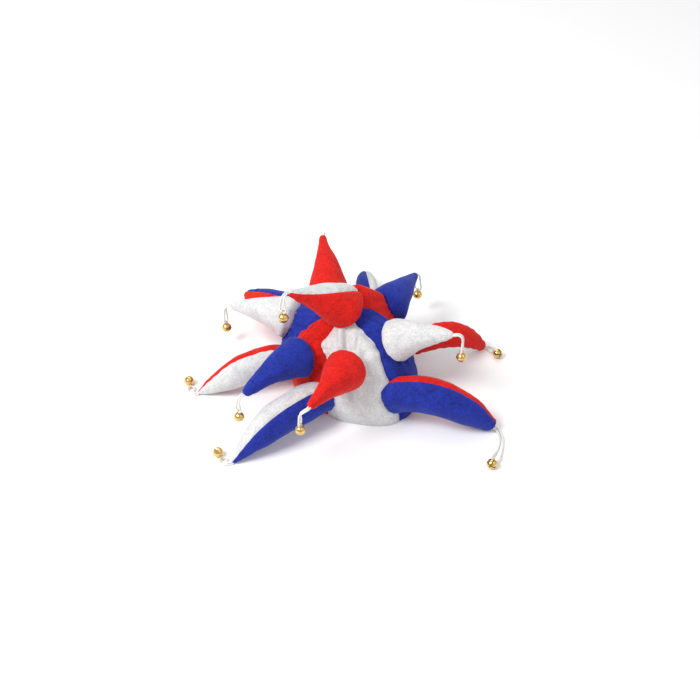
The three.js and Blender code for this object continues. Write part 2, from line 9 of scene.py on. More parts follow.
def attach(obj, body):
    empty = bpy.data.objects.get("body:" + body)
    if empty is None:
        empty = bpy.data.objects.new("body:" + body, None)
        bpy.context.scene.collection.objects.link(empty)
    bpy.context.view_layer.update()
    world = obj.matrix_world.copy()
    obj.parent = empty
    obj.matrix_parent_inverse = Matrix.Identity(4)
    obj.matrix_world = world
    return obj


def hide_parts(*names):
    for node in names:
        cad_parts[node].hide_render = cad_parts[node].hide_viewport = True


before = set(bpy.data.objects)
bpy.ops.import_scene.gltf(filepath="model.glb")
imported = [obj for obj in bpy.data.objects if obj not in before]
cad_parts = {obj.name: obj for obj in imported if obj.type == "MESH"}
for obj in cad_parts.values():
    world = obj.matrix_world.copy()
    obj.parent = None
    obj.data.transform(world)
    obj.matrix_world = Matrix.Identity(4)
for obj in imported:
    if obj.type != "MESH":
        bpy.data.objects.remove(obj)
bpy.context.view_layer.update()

# Camera: a hand-held view from above the front right of the head. The hat fills
# the middle of the frame, and the floor runs out of the picture on all sides.
camera_target = Vector((0, 0, 0.052))
camera_azimuth = 232
camera_elevation = 43
camera_distance = 1.7
camera_lens = 61.57
up = Vector((0, 0, 1))


def heading(azimuth, rise=0.0):
    flat = math.cos(math.radians(rise))
    return Vector((
        flat * math.cos(math.radians(azimuth)),
        flat * math.sin(math.radians(azimuth)),
        math.sin(math.radians(rise)),
    ))


def aim(thing, place, target):
    thing.location = place
    thing.rotation_euler = (target - place).to_track_quat("-Z", "Y").to_euler()


def placed(name, data):
    made = bpy.data.objects.new(name, data)
    bpy.context.scene.collection.objects.link(made)
    return made


camera_data = bpy.data.cameras.new("camera")
camera_data.lens = camera_lens
camera_data.clip_end = 30
camera = placed("camera", camera_data)
aim(camera, camera_target + heading(camera_azimuth, camera_elevation) * camera_distance, camera_target)
bpy.context.scene.camera = camera


# Studio: a plain pale floor under three wide soft lights and a white surround. The
# brightest light stands to the left of the camera, and the others fill its shadows.
floor_size = 14
floor_colour = (0.98, 0.98, 0.98, 1)
surround_strength = 0.6
Light = namedtuple("Light", "name azimuth rise distance width watts")
lights = [
    Light("key", 172, 52, 2.2, 0.8, 33),
    Light("fill", 296, 46, 2.4, 1.6, 6),
    Light("back", 60, 56, 2.4, 1.4, 9),
]


class Number:
    """A socket of a material, with the arithmetic that the finishes use."""

    def __init__(self, finish, socket):
        self.finish = finish
        self.socket = socket

    def maths(self, operation, first, second):
        return self.finish.node("ShaderNodeMath", {"operation": operation}, {0: first, 1: second})

    def __add__(self, other):
        return self.maths("ADD", self, other)

    def __radd__(self, other):
        return self.maths("ADD", other, self)

    def __sub__(self, other):
        return self.maths("SUBTRACT", self, other)

    def __rsub__(self, other):
        return self.maths("SUBTRACT", other, self)

    def __mul__(self, other):
        return self.maths("MULTIPLY", self, other)

    def __rmul__(self, other):
        return self.maths("MULTIPLY", other, self)


class Finish:
    """A material under construction: its Principled shader goes to the output."""

    def __init__(self, name, constants):
        self.material = bpy.data.materials.new(name)
        self.material.use_nodes = True
        self.tree = self.material.node_tree
        self.tree.nodes.clear()
        shader = self.node("ShaderNodeBsdfPrincipled", None, constants)
        self.shader = shader.socket.node
        self.node("ShaderNodeOutputMaterial", None, {"Surface": shader}, None)

    def node(self, kind, settings=None, sockets=None, output=0):
        made = self.tree.nodes.new(kind)
        for name, value in (settings or {}).items():
            setattr(made, name, value)
        for name, value in (sockets or {}).items():
            self.feed(made.inputs[name], value)
        return None if output is None else Number(self, made.outputs[output])

    def feed(self, socket, value):
        if isinstance(value, Number):
            self.tree.links.new(value.socket, socket)
        else:
            socket.default_value = value

    def mix(self, share, first, second):
        colours = {"data_type": "RGBA", "clamp_factor": True}
        return self.node("ShaderNodeMix", colours, {0: share, 6: first, 7: second}, 2)

    def varies(self, name, value):
        self.feed(self.shader.inputs[name], value)


floor_finish = Finish("floor_paper", {"Base Color": floor_colour, "Roughness": 0.9})
bpy.ops.mesh.primitive_plane_add(size=floor_size, location=(0, 0, -0.0002))
floor = bpy.context.object
floor.name = "floor"
floor.data.materials.append(floor_finish.material)

surround = bpy.data.worlds.new("surround")
surround.use_nodes = True
surround.node_tree.nodes["Background"].inputs["Color"].default_value = (1, 1, 1, 1)
surround.node_tree.nodes["Background"].inputs["Strength"].default_value = surround_strength
bpy.context.scene.world = surround
bpy.context.scene.view_settings.view_transform = "Standard"

for light in lights:
    lamp = bpy.data.lights.new(light.name, "AREA")
    lamp.size = light.width
    lamp.energy = light.watts
    aim(placed(light.name, lamp), heading(light.azimuth, light.rise) * light.distance, camera_target)


# Crown: six gores of padded velour in red, white and blue, sewn edge to edge from
# the rim to the top. Each is cut like a petal, and the slack cloth between the
# seams is drawn up into a small tent over the cone that is sewn to it.
rim_length = 0.232
rim_width = 0.160
crown_height = 0.131
crown_wall = 0.0025
crown_lean = 0.009
crown_lean_azimuth = 155
seam_dip = 0.0034
seam_sharpness = 6
seam_groove = 0.0016
seam_gap = 0.0003
cone_height = 0.091
cone_diameter = 0.062
gore_columns = 60
gore_rows = 72
relief_fade = 0.5
hem_height = 0.05
pucker_reach = 0.011
pucker_pitch = 0.019
pucker_depth = 0.0004
groove_reach = 0.0028

CrownSection = namedtuple("CrownSection", "up reach oval")
crown_sections = [
    CrownSection(0.00, 1.00, 1.00),
    CrownSection(0.10, 1.02, 0.90),
    CrownSection(0.22, 1.03, 0.72),
    CrownSection(0.34, 1.01, 0.55),
    CrownSection(0.46, 0.96, 0.42),
    CrownSection(0.58, 0.87, 0.32),
    CrownSection(0.69, 0.75, 0.22),
    CrownSection(0.79, 0.61, 0.15),
    CrownSection(0.87, 0.46, 0.10),
    CrownSection(0.94, 0.27, 0.05),
    CrownSection(1.00, 0.05, 0.00),
]

# at is the azimuth of a cone's base and lift its height as a share of cone_height;
# toward and rise give the line to its tip and long its share of cone_length. hang
# is the azimuth where its cord loop falls, drop its share of cord_drop.
Gore = namedtuple("Gore", "name azimuth cloth cone at lift toward rise long loop hang drop cord")
gores = [
    Gore("left", 0, "red", "blue", 2, 1.0, 25, -7, 0.98, "drooping", 22, 1.0, 0.088),
    Gore("back_left", 60, "white", "red", 69, 1.0, 58, 16, 1.06, "level", 52, 0.8, 0.084),
    Gore("back_right", 120, "blue", "white", 122, 0.98, 117, -8, 1.0, "drooping", 122, 1.0, 0.088),
    Gore("right", 180, "red", "blue", 182, 0.98, 181, -7, 1.0, "drooping", 184, 0.72, 0.072),
    Gore("front_right", 240, "white", "red", 232, 1.0, 203, 9, 1.0, "swung", 200, 0.74, 0.082),
    Gore("front_left", 300, "blue", "white", 300, 1.08, 298, 26, 0.93, "raised", 306, 0.74, 0.087),
]
gore_step = 360 / len(gores)

# How a cone pulls its gore into a tent: out in metres, lift and tall as shares of
# the crown's height above the cone's base, and wide in degrees
Tent = namedtuple("Tent", "out lift wide tall")
cone_tent = Tent(0.017, 0.12, 17, 0.17)

# Dents and folds of the slack crown; deep is a share of rim_width, inwards
Fold = namedtuple("Fold", "at up wide tall deep")
folds = [
    Fold(236, 0.90, 9, 0.12, 0.05),
    Fold(262, 0.72, 12, 0.10, -0.025),
    Fold(205, 0.60, 8, 0.14, 0.03),
    Fold(183, 0.38, 14, 0.10, 0.02),
    Fold(246, 0.42, 12, 0.12, 0.02),
    Fold(330, 0.80, 10, 0.10, -0.02),
    Fold(243, 0.00, 18, 0.14, 0.035),
    Fold(4, 0.97, 24, 0.10, -0.13),
    Fold(322, 0.90, 14, 0.12, -0.045),
]

# Where the slack gores stand up beside the top horn; deep is a height in metres,
# and peak_fade the reach of the crown from where they are drawn down to its middle
slack_peak = Fold(32, 0.97, 56, 0.12, 0.030)
peak_fade = 0.26

# Narrow creases: from one place to another on the crown, how deep and how wide
Crease = namedtuple("Crease", "at up to_at to_up deep wide")
creases = [
    Crease(238, 0.98, 232, 0.62, 0.0110, 0.0060),
    Crease(228, 0.60, 236, 0.18, 0.0030, 0.0050),
    Crease(248, 0.62, 243, 0.20, 0.0026, 0.0048),
    Crease(238, 0.50, 240, 0.10, -0.0022, 0.0070),
    Crease(193, 0.52, 198, 0.20, 0.0026, 0.0048),
    Crease(168, 0.50, 172, 0.22, 0.0022, 0.0050),
    Crease(284, 0.56, 288, 0.20, 0.0026, 0.0050),
    Crease(312, 0.58, 316, 0.22, 0.0024, 0.0050),
    Crease(12, 0.56, 16, 0.20, 0.0024, 0.0050),
    Crease(346, 0.52, 350, 0.20, 0.0022, 0.0048),
    Crease(52, 0.56, 48, 0.20, 0.0024, 0.0050),
    Crease(76, 0.52, 72, 0.20, 0.0022, 0.0050),
    Crease(108, 0.54, 112, 0.20, 0.0024, 0.0048),
    Crease(134, 0.54, 131, 0.20, 0.0022, 0.0050),
]

Drift = namedtuple("Drift", "seam up tall drift")
seam_drifts = [
    Drift(210, 0.84, 0.10, -13),
    Drift(270, 0.80, 0.12, 7),
    Drift(330, 0.60, 0.20, 4),
]


def turn_between(start, end):
    return (end - start + 540) % 360 - 180


def oval_reach(azimuth):
    along = math.sin(math.radians(azimuth)) / (rim_length / 2)
    across = math.cos(math.radians(azimuth)) / (rim_width / 2)
    return 1 / math.hypot(along, across)


def section_at(share):
    """Reach and oval at a share of the height, curved through the sections."""
    share = min(max(share, 0.0), 1.0)
    step = next(i for i, row in enumerate(crown_sections[1:]) if share <= row.up + 1e-9)
    low = crown_sections[step]
    high = crown_sections[step + 1]
    before = crown_sections[max(step - 1, 0)]
    after = crown_sections[min(step + 2, len(crown_sections) - 1)]
    gap = high.up - low.up
    part = (share - low.up) / gap

    def between(before, low_value, high_value, after, run_in, run_out):
        leaves = (high_value - before) / run_in * gap
        arrives = (after - low_value) / run_out * gap
        square = part * part
        cube = square * part
        return (
            (2 * cube - 3 * square + 1) * low_value + (cube - 2 * square + part) * leaves
            + (3 * square - 2 * cube) * high_value + (cube - square) * arrives
        )

    run_in = high.up - before.up
    run_out = after.up - low.up
    reach = between(before.reach, low.reach, high.reach, after.reach, run_in, run_out)
    oval = between(before.oval, low.oval, high.oval, after.oval, run_in, run_out)
    return reach, oval


def bump_at(azimuth, share, at, at_share, wide, tall):
    across = turn_between(at, azimuth) / wide
    along = (share - at_share) / tall
    return math.exp(-across * across - along * along)


def cone_share(gore):
    return gore.lift * cone_height / crown_height


def relief_at(azimuth, share):
    relief = 0
    for fold in folds:
        relief -= fold.deep * rim_width * bump_at(azimuth, share, fold.at, fold.up, fold.wide, fold.tall)
    for gore in gores:
        middle = cone_share(gore) + cone_tent.lift
        relief += cone_tent.out * bump_at(azimuth, share, gore.at, middle, cone_tent.wide, cone_tent.tall)
    return relief


def drift_at(seam, share):
    return sum(
        row.drift * math.exp(-((share - row.up) / row.tall) ** 2)
        for row in seam_drifts if abs(turn_between(row.seam, seam)) < 1
    )


def gore_azimuth(gore, across, share):
    before = drift_at(gore.azimuth - gore_step / 2, share)
    after = drift_at(gore.azimuth + gore_step / 2, share)
    moved = (before * (1 - across) + after * (1 + across)) / 2
    return gore.azimuth + across * gore_step / 2 + moved


def crown_round(azimuth, share):
    """Reach from the crown's leaning axis, without its relief."""
    reach, oval = section_at(share)
    mean = math.sqrt(rim_length * rim_width) / 2
    return reach * mean * (oval_reach(azimuth) / mean) ** oval


def crown_axis(share):
    return heading(crown_lean_azimuth) * crown_lean * share + up * crown_height * share


def top_fade(share, reach):
    """Falls from 1 to nearly 0 at the top, from where the crown is this narrow."""
    return min(1, section_at(share)[0] / reach)


def crown_point(azimuth, share, across=0.0, relief=True):
    out = crown_round(azimuth, share)
    if relief:
        dip = seam_dip * abs(across) ** seam_sharpness
        out += (relief_at(azimuth, share) - dip) * top_fade(share, relief_fade)
    return heading(azimuth) * out + crown_axis(share)


def crown_normal(azimuth, share):
    low = crown_point(azimuth, max(share - 0.03, 0), 0, False)
    high = crown_point(azimuth, min(share + 0.03, 1), 0, False)
    before = crown_point(azimuth - 2, share, 0, False)
    after = crown_point(azimuth + 2, share, 0, False)
    return (after - before).cross(high - low).normalized()


def crown_clearance(place):
    """How far a place is outside the crown's cloth, level with it."""
    share = place.z / crown_height
    if share >= 1:
        return place.z - crown_height
    across = place - crown_axis(max(share, 0))
    azimuth = math.degrees(math.atan2(across.y, across.x))
    reach = crown_round(azimuth, max(share, 0)) + relief_at(azimuth, share) * top_fade(share, relief_fade)
    return math.hypot(across.x, across.y) - reach


def crease_depth(azimuth, share):
    """Narrow creases, deepest in the middle of their length."""
    depth = 0
    for row in creases:
        half_turn = math.radians(1) * crown_round(azimuth, share)
        run = Vector((turn_between(row.at, row.to_at) * half_turn, (row.to_up - row.up) * crown_height))
        here = Vector((turn_between(row.at, azimuth) * half_turn, (share - row.up) * crown_height))
        if abs(here.x) > 0.05:
            continue
        part = min(max(here.dot(run) / run.length_squared, 0), 1)
        away = (here - run * part).length
        depth += row.deep * math.sin(math.pi * part) * math.exp(-(away / row.wide) ** 2)
    return depth


Gather = namedtuple("Gather", "girth inside outside ripple reach groove groove_reach")
gather = Gather(0.9, 0.012, 0.03, 0.0009, 0.011, 0.0018, 0.005)


def gather_depth(azimuth, share):
    """Puckers in the crown round each cone, where its base is sewn on."""
    depth = 0
    girth = cone_diameter / 2 * gather.girth
    for gore in gores:
        x = math.radians(turn_between(gore.at, azimuth)) * crown_round(azimuth, share)
        y = (share - cone_share(gore)) * crown_height
        away = math.hypot(x, y) - girth
        if -gather.inside < away < gather.outside:
            turn = math.atan2(y, x)
            ripple = math.cos(13 * turn + gore.azimuth) + 0.6 * math.cos(21 * turn + gore.at)
            depth += gather.ripple * ripple * math.exp(-(max(away, 0) / gather.reach) ** 2)
            depth += gather.groove * math.exp(-(away / gather.groove_reach) ** 2)
    return depth


def cloth_detail(gore, azimuth, share, across):
    """Small unevenness of the sewn cloth: grooves, puckers along seams, slack."""
    radius = crown_round(azimuth, share)
    from_seam = (1 - abs(across)) * math.radians(gore_step / 2) * radius
    near_seam = math.exp(-(from_seam / pucker_reach) ** 2)
    place = heading(azimuth) * radius + up * crown_height * share
    ripple = math.sin(math.tau * crown_height * share / pucker_pitch + 4 * noise.noise(place * 30))
    slack = noise.noise(place * 24) * 0.0022 + noise.noise(place * 62) * 0.0009
    groove = seam_groove * math.exp(-(from_seam / groove_reach) ** 2)
    return slack + ripple * pucker_depth * near_seam - groove


def velour(name, deep, full, worn, pile_depth):
    """Brushed cloth with painted sheen: random patches and streaks of the pile painted lighter or darker,
    lighter where the fine pile and streaks stand up in the bump.
    """
    constants = {
        "Roughness": 0.85, "Specular IOR Level": 0.25, "Sheen Weight": 0.3,
        "Sheen Roughness": 0.45, "Sheen Tint": worn,
    }
    finish = Finish(name, constants)
    place = finish.node("ShaderNodeTexCoord", None, None, "Object")
    patch = finish.node("ShaderNodeTexNoise", None, {
        "Vector": place, "Scale": 60.0, "Detail": 5.0, "Roughness": 0.65, "Distortion": 0.8,
    })
    stroke = finish.node("ShaderNodeTexNoise", None, {
        "Vector": place, "Scale": 340.0, "Detail": 3.0, "Roughness": 0.65, "Distortion": 0.5,
    })
    pile = finish.node("ShaderNodeTexNoise", None, {
        "Vector": place, "Scale": 1500.0, "Detail": 2.0, "Roughness": 0.7,
    })
    # Painted sheen: the colour runs from the deep to the full shade in random patches and streaks, and is
    # lighter where the bump stands higher.
    painted_sheen = 0.55 + (patch - 0.5) * 1.3 + (stroke - 0.5) * 1.9 + (pile - 0.5) * 0.8
    finish.varies("Base Color", finish.mix(painted_sheen, deep, full))
    height = pile * 0.6 + stroke * 0.7
    finish.varies("Normal", finish.node("ShaderNodeBump", None, {
        "Height": height, "Strength": 0.55, "Distance": pile_depth,
    }))
    return finish.material


velours = {
    "white": velour("white_velour", (0.50, 0.50, 0.52, 1), (0.77, 0.77, 0.76, 1), (1, 1, 1, 1), 0.0007),
    "red": velour("red_velour", (0.44, 0.003, 0.003, 1), (0.8, 0.014, 0.008, 1), (1, 0.25, 0.2, 1), 0.0007),
    "blue": velour("blue_velour", (0.005, 0.012, 0.13, 1), (0.016, 0.036, 0.4, 1), (0.3, 0.4, 1, 1), 0.0007),
}


def mesh_piece(name, points, faces, finish):
    mesh = bpy.data.meshes.new(name)
    mesh.from_pydata([tuple(point) for point in points], [], faces)
    mesh.validate()
    mesh.update()
    mesh.polygons.foreach_set("use_smooth", [True] * len(mesh.polygons))
    mesh.materials.append(finish)
    return placed(name, mesh)


def gore_piece(gore):
    outside = []
    inside = []
    for row in range(gore_rows + 1):
        share = math.sin(math.pi / 2 * row / gore_rows) ** 1.1
        for column in range(gore_columns + 1):
            across = math.sin(math.pi / 2 * (2 * column / gore_columns - 1))
            azimuth = gore_azimuth(gore, across, share)
            normal = heading(azimuth) if row == 0 else crown_normal(azimuth, share)
            fade = top_fade(share, relief_fade)
            hem = min(1, share / hem_height)
            detail = cloth_detail(gore, azimuth, share, across) * hem
            detail -= (crease_depth(azimuth, share) + gather_depth(azimuth, share)) * hem
            point = crown_point(azimuth, share, across) + normal * detail * fade
            peak = bump_at(azimuth, share, slack_peak.at, slack_peak.up, slack_peak.wide, slack_peak.tall)
            point.z += slack_peak.deep * peak * top_fade(share, peak_fade)
            point.z = max(point.z, 0)
            outside.append(point)
            inner = point - normal * crown_wall
            inner.z = max(inner.z, 0)
            inside.append(inner)
    wide = gore_columns + 1
    count = len(outside)
    faces = []
    for row in range(gore_rows):
        for column in range(gore_columns):
            a = row * wide + column
            faces.append((a, a + 1, a + wide + 1, a + wide))
            faces.append((count + a, count + a + wide, count + a + wide + 1, count + a + 1))
    for column in range(gore_columns):
        a = column
        b = gore_rows * wide + column
        faces.append((a, count + a, count + a + 1, a + 1))
        faces.append((b, b + 1, count + b + 1, count + b))
    for row in range(gore_rows):
        a = row * wide
        b = a + gore_columns
        faces.append((a, a + wide, count + a + wide, count + a))
        faces.append((b, count + b, count + b + wide, b + wide))
    return mesh_piece(f"velour_gore_{gore.name}", outside + inside, faces, velours[gore.cloth])


for gore in gores:
    piece = gore_piece(gore)
    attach(piece, "root")
    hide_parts(f"gore_{gore.name}")


# Stuffed points in general: each is a row of sections with a middle, a direction,
# the way to its top seam and its half sizes. The skin starts where it leaves the
# crown, is tucked in at that seam, and is blown up by its filling.
Section = namedtuple("Section", "middle along ridge tall wide")
tip_diameter = 0.0102
root_sink = 0.0012
fill_pressure = 4.0
fill_frames = 20
fill_swell = 0.0020
fill_start = 0.99
fill_firmness = 0.85
skin_mass = 0.25
skin_bending = 0.6
seam_draw = 0.1
end_crowding = 0.55
root_gather = 0.016
tip_gather = 0.014
tuck_depth = 0.0026
tuck_run = 0.0030
ridge_reach = 0.009
ridge_pitch = 0.015
ridge_depth = 0.0008
skin_groove = 0.0019
skin_groove_reach = 0.0026
table_softness = 0.004
table_gap = 0.0003


def capped(sections, length, rows=6):
    """The sections with a round end after the last one."""
    end = sections[-1]
    caps = []
    for row in range(1, rows + 1):
        turn = math.pi / 2 * row / rows
        size = max(math.cos(turn), 0.01) ** 0.75
        caps.append(Section(
            end.middle + end.along * length * math.sin(turn), end.along, end.ridge,
            end.tall * size, end.wide * size,
        ))
    return sections + caps


def skin_strings(sections, sides):
    """Lines of points along the point's skin, one for each step round it."""
    strings = []
    for side in range(sides):
        turn = math.tau * side / sides
        string = []
        for section in sections:
            across = section.ridge.cross(section.along)
            out = section.ridge * section.tall * math.cos(turn) + across * section.wide * math.sin(turn)
            string.append(section.middle + out)
        strings.append(string)
    return strings


def from_crown(string):
    """The part of a skin line outside the crown, from just under its cloth."""
    last = max(
        (i for i in range(len(string) - 1) if crown_clearance(string[i]) < -root_sink),
        default=0,
    )
    low = string[last]
    high = string[last + 1]
    for _ in range(14):
        middle = (low + high) / 2
        if crown_clearance(middle) < -root_sink:
            low = middle
        else:
            high = middle
    return [high] + string[last + 1:]


def even_points(line, count):
    """The line as evenly spaced points, closer together at both of its ends."""
    lengths = [0.0]
    for a, b in zip(line, line[1:]):
        lengths.append(lengths[-1] + (b - a).length)
    points = []
    step = 0
    for i in range(count + 1):
        part = i / count
        part -= end_crowding * math.sin(math.tau * part) / math.tau
        want = part * lengths[-1]
        while step < len(line) - 2 and lengths[step + 1] < want:
            step += 1
        run = max(lengths[step + 1] - lengths[step], 1e-9)
        points.append(line[step].lerp(line[step + 1], min(max((want - lengths[step]) / run, 0), 1)))
    return points


Stuffed = namedtuple("Stuffed", "name sides rows lines middles seams")


def stuffed_point(name, sections, sides, rows, seams, puckers):
    """Skin lines from the crown to the tip, tucked and puckered at their ends."""
    lines = [even_points(from_crown(string), rows) for string in skin_strings(sections, sides)]
    middles = []
    for row in range(rows + 1):
        ring = [line[row] for line in lines]
        middles.append(sum(ring, Vector()) / sides)
    seed = sum(ord(letter) for letter in name) * 0.37
    for side, line in enumerate(lines):
        turn = math.tau * side / sides
        ripple = math.cos(puckers * turn + seed) + 0.7 * math.cos((puckers * 1.7 // 1) * turn + seed * 2)
        from_seam = min(abs(math.remainder(turn - seam, math.tau)) for seam in seams)
        length = sum((b - a).length for a, b in zip(line, line[1:]))
        run = 0.0
        for row in range(rows + 1):
            if row:
                run += (line[row] - before).length
            before = line[row].copy()
            out = line[row] - middles[row]
            size = out.length
            if size < 1e-5:
                continue
            root = math.exp(-(run / root_gather) ** 2)
            tip = math.exp(-((length - run) / tip_gather) ** 2)
            along_seam = math.exp(-(from_seam * size / ridge_reach) ** 2)
            wave = math.sin(math.tau * run / ridge_pitch + seed + 3 * noise.noise(before * 25))
            change = -tuck_depth * math.exp(-(run / tuck_run) ** 2)
            change += 0.0006 * ripple * root + 0.0003 * ripple * tip
            change += ridge_depth * wave * along_seam
            change += 0.0022 * noise.noise(before * 26) + 0.0009 * noise.noise(before * 64)
            ends = min(1, size / 0.008)
            line[row] = middles[row] + out * ((size * fill_start + change * ends) / size)
    return Stuffed(name, sides, rows, lines, middles, seams)


def skin_mesh(stuffed):
    points = [line[row] for row in range(stuffed.rows + 1) for line in stuffed.lines]
    sides = stuffed.sides
    faces = []
    for row in range(stuffed.rows):
        for side in range(sides):
            a = row * sides + side
            b = row * sides + (side + 1) % sides
            faces.append((a, a + sides, b + sides, b))
    return points, faces


def cloth_over(stuffed):
    """A skin with a Cloth modifier, held at the crown and at the tip. The seams
    draw up by a tenth of their length, which puckers the cloth beside them."""
    points, faces = skin_mesh(stuffed)
    skin = mesh_piece(f"skin_{stuffed.name}", points, faces, velours["white"])
    held = skin.vertex_groups.new(name="held")
    drawn = skin.vertex_groups.new(name="drawn")
    sides = stuffed.sides
    held.add([*range(2 * sides), *range((stuffed.rows - 1) * sides, (stuffed.rows + 1) * sides)], 1, "ADD")
    seam_sides = [round(seam / math.tau * sides) % sides for seam in stuffed.seams]
    drawn.add([row * sides + side for row in range(stuffed.rows + 1) for side in seam_sides], 1, "ADD")
    cloth = skin.modifiers.new("filling", "CLOTH")
    cloth.settings.quality = 4
    cloth.settings.mass = skin_mass
    cloth.settings.use_pressure = True
    cloth.settings.uniform_pressure_force = fill_pressure
    cloth.settings.effector_weights.gravity = 0
    cloth.settings.vertex_group_mass = "held"
    cloth.settings.vertex_group_shrink = "drawn"
    cloth.settings.shrink_min = 0.0
    cloth.settings.shrink_max = seam_draw
    cloth.settings.bending_stiffness = skin_bending
    cloth.collision_settings.use_collision = False
    cloth.point_cache.frame_start = 1
    cloth.point_cache.frame_end = fill_frames
    return skin


def blown_up(skins):
    """Runs the filling of all the skins at once and returns where their points end."""
    scene = bpy.context.scene
    scene.frame_start = 1
    scene.frame_end = fill_frames
    for step in range(1, fill_frames + 1):
        scene.frame_set(step)
    depsgraph = bpy.context.evaluated_depsgraph_get()
    ends = []
    for skin in skins:
        shape = skin.evaluated_get(depsgraph).to_mesh()
        ends.append([vertex.co.copy() for vertex in shape.vertices])
    scene.frame_set(1)
    for skin in skins:
        bpy.data.objects.remove(skin)
    return ends


def filled(points):
    """Each skin's lines after its filling has pushed them out, up to fill_swell."""
    results = []
    for stuffed, ends in zip(points, blown_up([cloth_over(stuffed) for stuffed in points])):
        lines = []
        for side, line in enumerate(stuffed.lines):
            moved = []
            for row, place in enumerate(line):
                push = ends[row * stuffed.sides + side] - place
                out = (place - stuffed.middles[row]).normalized()
                push -= out * min(push.dot(out), 0) * fill_firmness
                if push.length > fill_swell:
                    push *= fill_swell / push.length
                moved.append(place + push)
            lines.append(moved)
        results.append(stuffed._replace(lines=lines))
    return results


def rested(place):
    """A place that is kept on the table, pressed flat without a hard edge."""
    if place.z < table_softness:
        depth = (table_softness - place.z) / table_softness
        return Vector((place.x, place.y, max(table_gap, table_softness * math.exp(-depth))))
    return place


def skin_piece(stuffed, first, last, finish, name):
    """A strip of the skin between two of its seams, turned in along them."""
    sides = [side % stuffed.sides for side in range(first, last + 1)]
    whole = last - first == stuffed.sides
    if whole:
        sides = sides[:-1]
    grooved = []
    for row in range(stuffed.rows + 1):
        for side in sides:
            place = stuffed.lines[side][row]
            turn = math.tau * side / stuffed.sides
            out = place - stuffed.middles[row]
            from_seam = min(abs(math.remainder(turn - seam, math.tau)) for seam in stuffed.seams)
            groove = skin_groove * math.exp(-(from_seam * out.length / skin_groove_reach) ** 2)
            size = max(out.length, 1e-6)
            grooved.append(rested(place - out * (min(groove, size * 0.2) / size)))
    count = len(sides)
    faces = []
    for row in range(stuffed.rows):
        for column in range(count if whole else count - 1):
            a = row * count + column
            b = row * count + (column + 1) % count
            faces.append((a, a + count, b + count, b))
    end = stuffed.rows * count
    pole = len(grooved)
    grooved.append(sum((grooved[end + i] for i in range(count)), Vector()) / count)
    for column in range(count if whole else count - 1):
        faces.append((end + column, pole, end + (column + 1) % count))
    piece = mesh_piece(name, grooved, faces, finish)
    smooth = piece.modifiers.new("smooth", "SUBSURF")
    smooth.levels = 1
    smooth.render_levels = 1
    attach(piece, "root")
    return piece


# Cones: one stuffed point of plain velour on each gore, of the colour that the
# row gives. Its base is gathered onto the gore, and it flops where its tip lies.
cone_length = 0.097
cone_bend = {"normal": 0.5, "knee": 0.35}
cone_taper_power = 1.1
cone_end = 0.97
cone_cap = 0.0036
cone_sides = 44
cone_rows = 30
ConeRoot = namedtuple("ConeRoot", "share tuck")
cone_root = [
    ConeRoot(-0.34, 0.30),
    ConeRoot(-0.10, 0.74),
    ConeRoot(-0.02, 0.96),
    ConeRoot(0.05, 1.00),
]
station_count = 70


def tuck_at(share):
    for low, high in zip(cone_root, cone_root[1:]):
        if share < high.share:
            return low.tuck + (high.tuck - low.tuck) * (share - low.share) / (high.share - low.share)
    return 1.0


def cone_sections(base, normal, tip, base_diameter, ridge, twist):
    """A cone leaves the crown between its normal and the line to its tip."""
    reach = tip - base
    leave = (reach.normalized() + normal * cone_bend["normal"]).normalized()
    knee = base + leave * reach.length * cone_bend["knee"]
    first = cone_root[0].share
    sections = []
    for station in range(station_count + 1):
        share = first + (cone_end - first) * station / station_count
        rest = 1 - share
        middle = base * rest ** 2 + knee * (2 * rest * share) + tip * share ** 2
        along = ((knee - base) * rest + (tip - knee) * share).normalized()
        taper = 1 - max(share, 0) ** cone_taper_power
        radius = (tip_diameter + (base_diameter - tip_diameter) * taper) / 2 * tuck_at(share)
        ridge = (ridge - along * ridge.dot(along)).normalized()
        turned = Quaternion(along, math.radians(twist) * share) @ ridge
        sections.append(Section(middle, along, turned, radius, radius))
    return sections


def gore_cone(gore):
    share = cone_share(gore)
    base = crown_point(gore.at, share)
    tip = base + heading(gore.toward, gore.rise) * gore.long * cone_length
    return cone_sections(base, crown_normal(gore.at, share), tip, cone_diameter, up, 0)


cone_tips = {gore.name: gore_cone(gore) for gore in gores}
cones = [
    stuffed_point(
        f"cone_{gore.name}", capped(cone_tips[gore.name], cone_cap),
        cone_sides, cone_rows, [math.pi], 11,
    )
    for gore in gores
]


# Horns: six longer stuffed points low on the crown, over the seams between the
# gores. Each is sewn from two strips of different colours that meet in a seam
# along its ridge and another below, and its blunt end rests on the table.
horn_span = 0.140
horn_height = 0.045
horn_diameter = 0.051
horn_cap = 0.003
horn_sides = 48
horn_rows = 44
horn_taper = {"from": 0.35, "power": 2.5}
horn_root = {"until": 0.15, "girth": 0.94}
horn_width = {"root": 0.92, "tip": 0.8}
horn_tip_rest = 0.8

# root, crest and wrist are heights as shares of horn_height; girth and blunt are
# the thickness and the end as shares of horn_diameter; roll tips the top seam
Horn = namedtuple(
    "Horn", "name at toward span root crest wrist girth blunt roll loop clockwise anticlockwise cord",
)
horns = [
    Horn("front", 272, 312, 0.93, 1.0, 1.34, 0.98, 1.05, 0.46, 0, "draped", "blue", "red", 0.148),
    Horn("front_left", 330, 344.6, 0.84, 1.24, 1.32, 1.24, 0.78, 0.45, 33, "tucked", "red", "white", 0.052),
    Horn("back_left", 30, 56.5, 0.9, 1.0, 1.25, 1.0, 0.74, 0.55, -8, "underneath", "white", "blue", 0.1355),
    Horn("back", 90, 98, 0.86, 0.85, 0.95, 0.42, 0.95, 0.5, 10, "beside", "blue", "red", 0.1335),
    Horn("back_right", 150, 153, 0.87, 1.0, 1.24, 0.58, 0.92, 0.22, 0, "tucked", "red", "white", 0.051),
    Horn("front_right", 206, 178.8, 1.01, 0.88, 1.09, 0.89, 1.08, 0.2, 24, "turned", "white", "blue", 0.0515),
]


